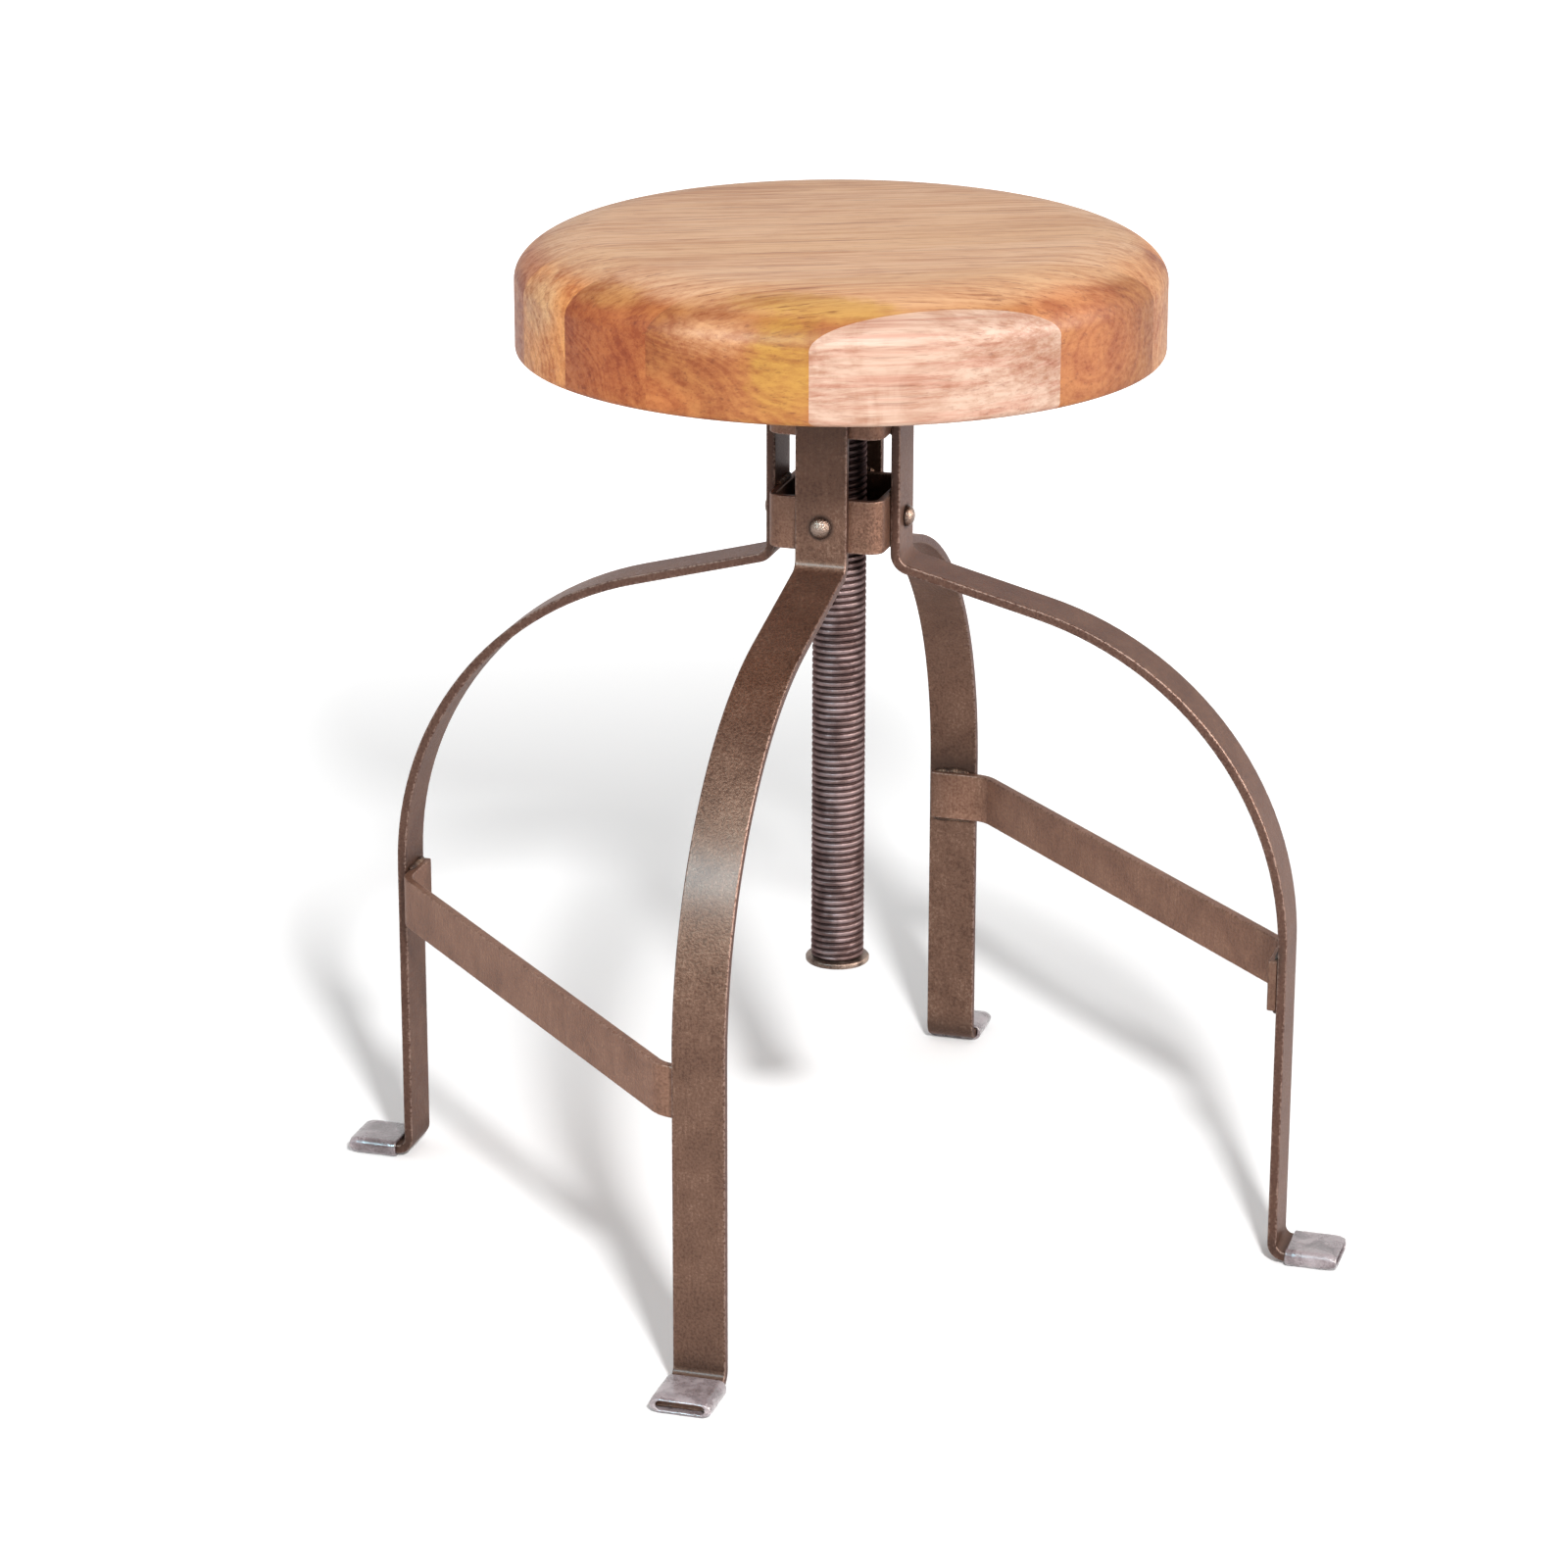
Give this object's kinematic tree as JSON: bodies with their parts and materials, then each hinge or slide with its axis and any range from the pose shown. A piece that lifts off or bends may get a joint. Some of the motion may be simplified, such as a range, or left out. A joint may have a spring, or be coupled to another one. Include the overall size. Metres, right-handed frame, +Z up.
{
  "type": "adjustable swivel stool",
  "caption": "Round wooden seat on a threaded steel spindle that raises it as it turns, on riveted legs of bent flat bar with braces and vinyl foot sleeves.",
  "frame": {"origin": "on the floor, under the spindle's axis", "axes": "+Z up along the spindle; the front leg points along -Y and the right leg along +X"},
  "size_m": [0.566, 0.566, 0.5465],
  "materials": {
    "seat_wood": "oiled solid hardwood, glued up from blocks, satin",
    "frame_steel": "clear lacquer over brown mill steel, satin, slightly grainy",
    "rivet_steel": "lacquered round-head rivets, bright on the crown",
    "spindle_steel": "dark oiled steel, bright on the thread's crests",
    "fastener_steel": "browned steel, worn at the edges",
    "sleeve_vinyl": "cloudy grey soft vinyl, glossy"
  },
  "bodies": {
    "base": {"lower_collar": "frame_steel", "upper_collar": "frame_steel", "spindle_nut": "spindle_steel", "guide_plate": "spindle_steel", "leg_front": "frame_steel", "leg_right": "frame_steel", "leg_back": "frame_steel", "leg_left": "frame_steel", "foot_sleeve_front": "sleeve_vinyl", "foot_sleeve_right": "sleeve_vinyl", "foot_sleeve_back": "sleeve_vinyl", "foot_sleeve_left": "sleeve_vinyl", "rivet_lower_front": "rivet_steel", "rivet_lower_right": "rivet_steel", "rivet_lower_back": "rivet_steel", "rivet_lower_left": "rivet_steel", "rivet_upper_front": "rivet_steel", "rivet_upper_right": "rivet_steel", "rivet_upper_back": "rivet_steel", "rivet_upper_left": "rivet_steel", "brace_left_front": "frame_steel", "brace_back_right": "frame_steel"},
    "stop": {"stop_washer": "fastener_steel"},
    "seat_and_spindle": {"spindle": "spindle_steel", "end_bolt": "fastener_steel", "seat_plate": "spindle_steel", "seat_screw_1": "fastener_steel", "seat_screw_2": "fastener_steel", "seat_screw_3": "fastener_steel", "seat_screw_4": "fastener_steel", "seat": "seat_wood"}
  },
  "joints": [
    {"name": "spindle_rise", "type": "slide", "parent": "base", "child": "stop", "axis": [0, 0, 1], "range_m": [0, 0.235]},
    {"name": "seat_turn", "type": "hinge", "parent": "stop", "child": "seat_and_spindle", "pos_m": [0, 0, 0.3], "axis": [0, 0, 1], "range_deg": [0, 23318]}
  ],
  "couplings": [
    {"joint": "spindle_rise", "follows": "seat_turn", "m_per_rad": 0.00057741}
  ]
}
